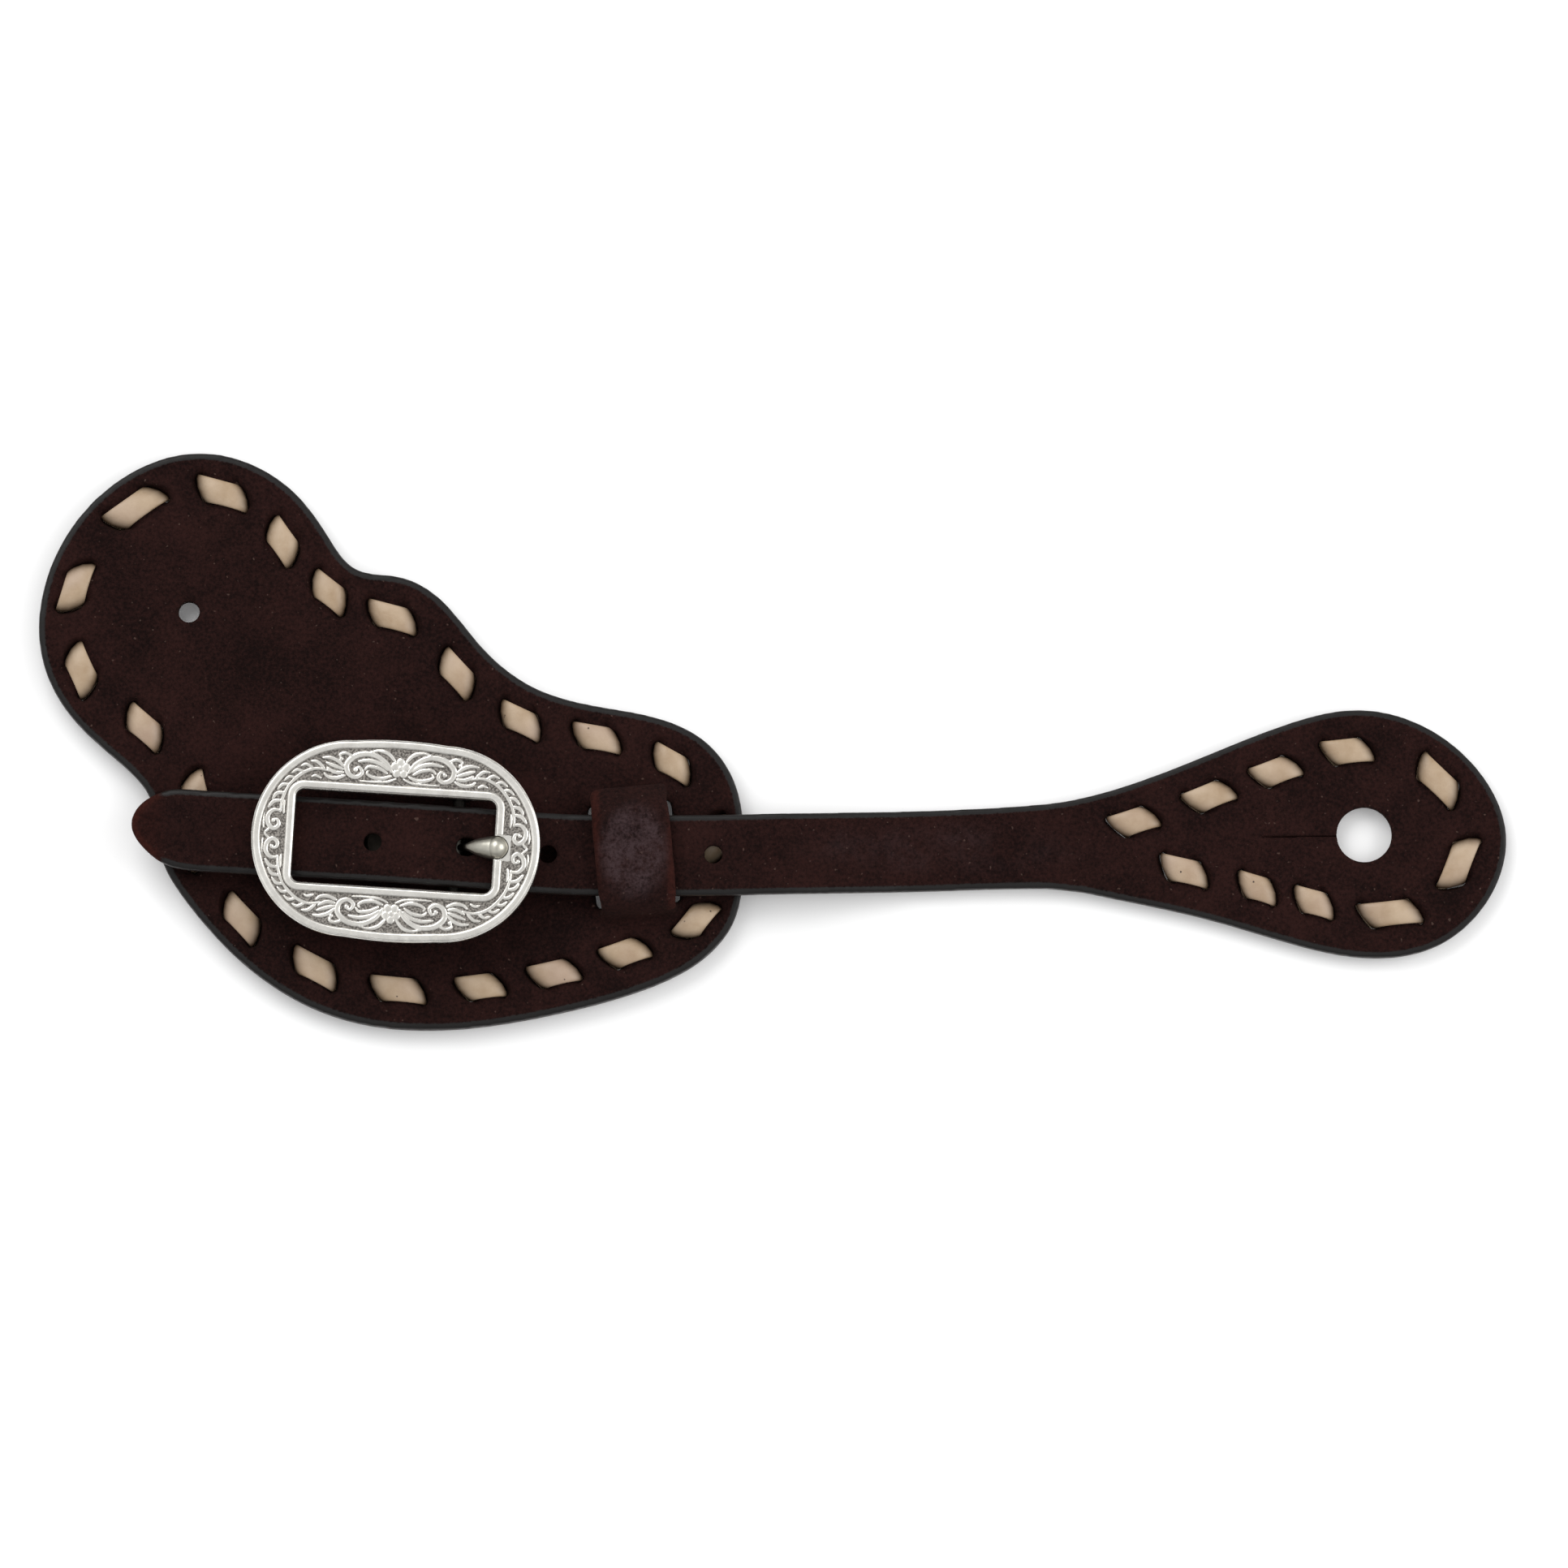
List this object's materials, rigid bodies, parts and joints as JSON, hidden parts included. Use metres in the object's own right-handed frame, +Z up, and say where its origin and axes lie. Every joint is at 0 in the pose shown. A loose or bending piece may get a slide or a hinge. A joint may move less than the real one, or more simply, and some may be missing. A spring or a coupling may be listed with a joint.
{
  "type": "spur strap",
  "caption": "Western spur strap: laced leather wing panel with a bridge keeper, a billet strap ending in a button-hole teardrop, and an engraved cart buckle with a tongue on a chape.",
  "frame": {"origin": "middle of the strap's box, on the surface it lies on", "axes": "+X from the round lobe to the spur-button end, +Y across the strap, +Z up from the lying surface, out of the show side"},
  "size_m": [0.2894, 0.1142, 0.0179],
  "materials": {
    "roughout_leather": "dark reddish-brown roughout cowhide with black-dyed burnished edges",
    "chape_leather": "skived dark brown leather",
    "lace_leather": "flat satin natural lace",
    "antique_silver": "antiqued silver plate, bright rims, dark recess",
    "bar_steel": "drawn wire, plain",
    "tongue_nickel": "polished nickel-silver casting",
    "rivet_brass": "tubular rivets, dull"
  },
  "bodies": {
    "panel": {"wing_panel": "roughout_leather", "panel_lace": "lace_leather", "buckle_chape": "chape_leather", "chape_rivets": "rivet_brass", "rivet_burrs": "rivet_brass"},
    "billet": {"billet_strap": "roughout_leather", "billet_lace": "lace_leather"},
    "buckle": {"buckle_frame": "antique_silver", "hinge_bar": "bar_steel"},
    "tongue": {"buckle_tongue": "tongue_nickel"}
  },
  "joints": [
    {"name": "billet_slide", "type": "slide", "parent": "panel", "child": "billet", "axis": [0.9978, -0.0663, 0], "range_m": [-0.004, 0]},
    {"name": "frame_rock", "type": "hinge", "parent": "panel", "child": "buckle", "pos_m": [-0.06223, -0.02136, 0.00764], "axis": [0.0645, 0.9979, 0], "range_deg": [-1.5, 1.5]},
    {"name": "tongue_swing", "type": "hinge", "parent": "buckle", "child": "tongue", "pos_m": [-0.06223, -0.02136, 0.00764], "axis": [-0.0645, -0.9979, 0], "range_deg": [0, 52]}
  ],
  "couplings": [
    {"joint": "tongue_swing", "follows": "billet_slide", "rad_per_m": -218.17}
  ]
}
